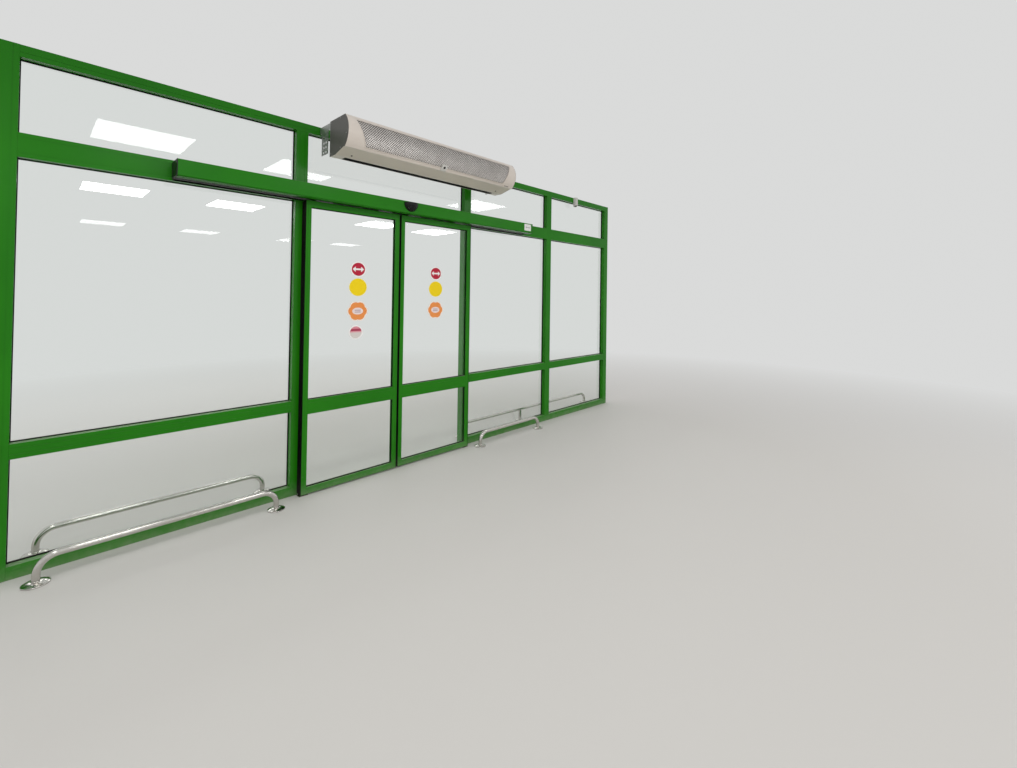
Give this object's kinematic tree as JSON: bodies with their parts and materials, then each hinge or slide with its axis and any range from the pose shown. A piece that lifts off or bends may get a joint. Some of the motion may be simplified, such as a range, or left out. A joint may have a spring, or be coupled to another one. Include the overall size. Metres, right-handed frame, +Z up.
{
  "type": "glazed shop entrance screen with automatic sliding doors",
  "caption": "Green aluminium shop entrance screen: fixed glazed bays and toplights, sliding glass leaves that part under an operator header, an air curtain and steel guard rails.",
  "frame": {"origin": "on the floor under the left jamb, in the middle of its width and of the glass", "axes": "+X along the screen to the right seen from the room, -Y towards the room, +Z up"},
  "size_m": [5.38, 0.7179, 2.6],
  "materials": {
    "green_frame": "satin green powder coat",
    "clear_glass": "clear",
    "black_rubber": "matt",
    "bare_aluminium": "mill",
    "stainless": "brushed",
    "zinc_steel": "zinc plated",
    "white_casing": "satin light grey",
    "grey_plate": "satin",
    "silver_mesh": "expanded mesh",
    "black_plastic": "satin",
    "white_plastic": "satin"
  },
  "bodies": {
    "screen": {"left_end_post": "green_frame", "left_jamb": "green_frame", "right_jamb": "green_frame", "sidelight_mullion": "green_frame", "right_end_post": "green_frame", "head_rail": "green_frame", "left_transom": "green_frame", "door_transom": "green_frame", "sidelight_transom": "green_frame", "end_transom": "green_frame", "sills": "green_frame", "mid_rails": "green_frame", "left_bay_glass": "clear_glass", "sidelight_glass": "clear_glass", "end_bay_glass": "clear_glass", "toplight_glass": "clear_glass", "bay_gaskets": "black_rubber", "toplight_gaskets": "black_rubber", "jamb_brushes": "black_rubber", "floor_guides": "stainless", "header_beam": "bare_aluminium", "header_cover": "green_frame", "header_end_plates": "black_plastic", "door_sensor": "black_plastic", "drive_motor": "zinc_steel", "belt_idler": "zinc_steel", "drive_belt": "black_rubber", "curtain_casing": "white_casing", "curtain_grille": "silver_mesh", "curtain_end_plates": "grey_plate", "curtain_nozzle": "black_plastic", "curtain_brackets": "zinc_steel", "curtain_receiver": "white_plastic", "alarm_detector": "white_plastic", "front_left_guard": "stainless", "front_right_guard": "stainless", "back_left_guard": "stainless", "back_right_guard": "stainless"},
    "left_leaf": {"left_leaf_stiles": "green_frame", "left_leaf_rails": "green_frame", "left_leaf_glass": "clear_glass", "left_leaf_gaskets": "black_rubber", "left_leaf_carriages": "zinc_steel", "left_leaf_nose": "black_rubber"},
    "right_leaf": {"right_leaf_stiles": "green_frame", "right_leaf_rails": "green_frame", "right_leaf_glass": "clear_glass", "right_leaf_gaskets": "black_rubber", "right_leaf_carriages": "zinc_steel", "right_leaf_nose": "black_rubber"}
  },
  "joints": [
    {"name": "left_leaf_slide", "type": "slide", "parent": "screen", "child": "left_leaf", "axis": [-1, 0, 0], "range_m": [0, 0.7]},
    {"name": "right_leaf_slide", "type": "slide", "parent": "screen", "child": "right_leaf", "axis": [1, 0, 0], "range_m": [0, 0.7]}
  ],
  "couplings": [
    {"joint": "right_leaf_slide", "follows": "left_leaf_slide", "ratio": 1}
  ]
}
